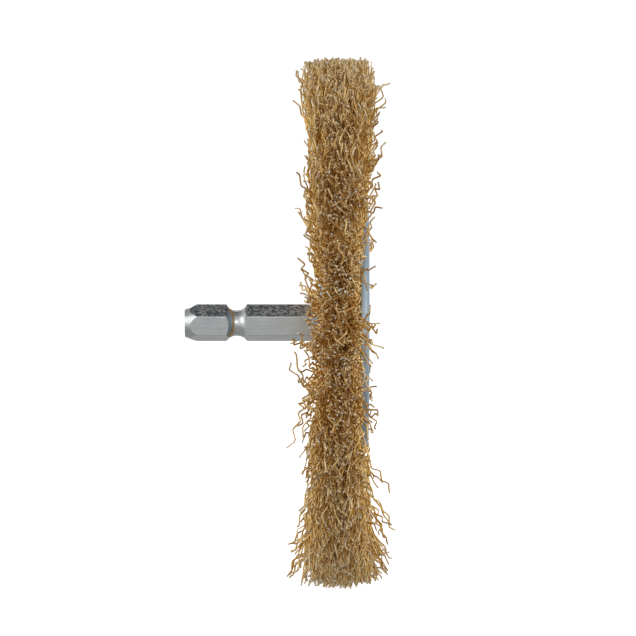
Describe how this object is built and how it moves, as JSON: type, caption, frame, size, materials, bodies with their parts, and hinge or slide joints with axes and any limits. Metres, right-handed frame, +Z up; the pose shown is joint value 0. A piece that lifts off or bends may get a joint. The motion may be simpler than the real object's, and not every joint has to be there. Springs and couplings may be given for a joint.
{
  "type": "wire wheel brush",
  "caption": "Crimped-wire wheel brush: brass-coated steel wires folded over a ring, clamped between two pressed flanges and riveted to a hexagonal quick-change shank.",
  "frame": {"origin": "on the axis of rotation, at the centre of the shank's ball groove", "axes": "+X along the axis of rotation, from the shank's free end to the wheel; +Z up, with the wheel standing on edge"},
  "size_m": [0.0372, 0.1, 0.1],
  "materials": {
    "shank_steel": "zinc plated, satin",
    "flange_steel": "blue zinc plated, semi-bright",
    "inner_steel": "plain mild steel",
    "brass_wire": "brass-coated crimped steel wire, bright cut ends"
  },
  "bodies": {
    "root": {"shank": "shank_steel", "rear_flange": "flange_steel", "front_flange": "flange_steel", "rear_washer": "flange_steel", "front_washer": "flange_steel", "spacer_bush": "inner_steel", "keeper_ring": "inner_steel", "wire_bundle_01": "brass_wire", "wire_bundle_02": "brass_wire", "wire_bundle_03": "brass_wire", "wire_bundle_04": "brass_wire", "wire_bundle_05": "brass_wire", "wire_bundle_06": "brass_wire", "wire_bundle_07": "brass_wire", "wire_bundle_08": "brass_wire", "wire_bundle_09": "brass_wire", "wire_bundle_10": "brass_wire", "wire_bundle_11": "brass_wire", "wire_bundle_12": "brass_wire", "wire_bundle_13": "brass_wire", "wire_bundle_14": "brass_wire", "wire_bundle_15": "brass_wire", "wire_bundle_16": "brass_wire", "wire_bundle_17": "brass_wire", "wire_bundle_18": "brass_wire", "wire_bundle_19": "brass_wire", "wire_bundle_20": "brass_wire", "wire_bundle_21": "brass_wire", "wire_bundle_22": "brass_wire", "wire_bundle_23": "brass_wire", "wire_bundle_24": "brass_wire"}
  },
  "joints": []
}
